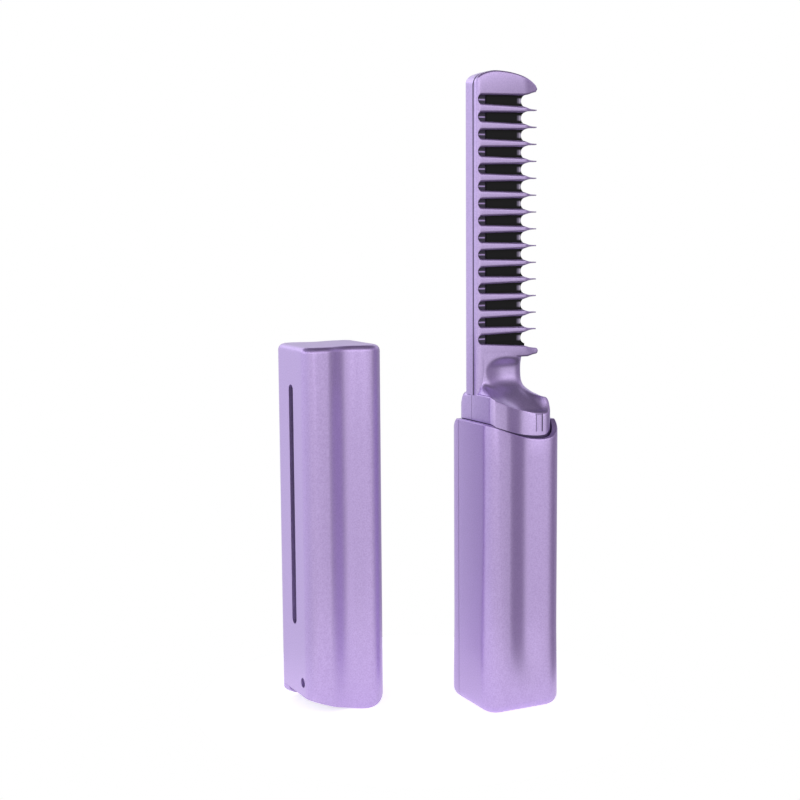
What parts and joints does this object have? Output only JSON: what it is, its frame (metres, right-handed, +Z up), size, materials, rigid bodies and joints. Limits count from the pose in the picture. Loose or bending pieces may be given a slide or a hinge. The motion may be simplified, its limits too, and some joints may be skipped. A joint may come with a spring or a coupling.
{
  "type": "hot comb",
  "caption": "cordless heated hair comb: dark hot plates between lilac teeth guards, a squarish lilac handle with a push button and a charging port, and a tall pull-off cap stood beside it",
  "frame": {"origin": "the middle of the flat foot of the handle", "axes": "+Z up from the foot to the comb's crown, -X the way the teeth point, -Y the side with the power button"},
  "size_m": [0.0696, 0.0464, 0.1795],
  "materials": {
    "housing": "satin pearlescent lilac with a fine grain",
    "comb_body": "satin pearlescent lilac",
    "heated_plate": "near-black coated plate, low sheen",
    "heater_ceramic": "white ceramic heater",
    "heater_film": "amber insulating film",
    "fuse_can": "bare metal can",
    "sensor_bead": "dark red bead",
    "lead_wire": "red silicone sleeve",
    "board": "green solder mask",
    "chip": "black moulded package",
    "screw": "plated screw",
    "led": "white package",
    "light_window": "dark smoked light pipe, unlit",
    "switch": "dark grey switch body",
    "plunger": "ivory plunger",
    "button": null,
    "socket_shell": "drawn steel shell",
    "socket_tongue": "black contact tongue",
    "cell": "blue wrapped lithium cell",
    "pad": "grey foam pad",
    "cap": "satin pearlescent lilac with a fine grain"
  },
  "bodies": {
    "handle": {"front_shell": "housing", "back_shell": "housing", "comb_front_frame": "comb_body", "comb_back_frame": "comb_body", "heat_plate_front": "heated_plate", "heat_plate_back": "heated_plate", "heater_strip": "heater_ceramic", "heater_films": "heater_film", "thermal_fuse": "fuse_can", "temperature_sensor": "sensor_bead", "heater_leads": "lead_wire", "main_board": "board", "board_chips": "chip", "board_screws": "screw", "indicator_leds": "led", "light_pipes": "light_window", "switch_body": "switch", "usb_socket_shell": "socket_shell", "usb_socket_tongue": "socket_tongue", "battery_cell": "cell", "battery_pad": "pad", "cell_board": "board", "battery_leads": "lead_wire"},
    "button": {"power_button": "button"},
    "plunger": {"switch_plunger": "plunger"},
    "cap": {"cap_shell": "cap"}
  },
  "joints": [
    {"name": "button_press", "type": "slide", "parent": "handle", "child": "button", "axis": [0, 1, 0], "range_m": [0, 0.0005], "stiffness_N_per_m": 600},
    {"name": "plunger_press", "type": "slide", "parent": "handle", "child": "plunger", "axis": [0, 1, 0], "range_m": [0, 0.0005]},
    {"name": "cap_lift", "type": "slide", "parent": "handle", "child": "cap", "axis": [0, 0, 1], "range_m": [0, 0.12]}
  ],
  "couplings": [
    {"joint": "plunger_press", "follows": "button_press", "ratio": 1}
  ]
}
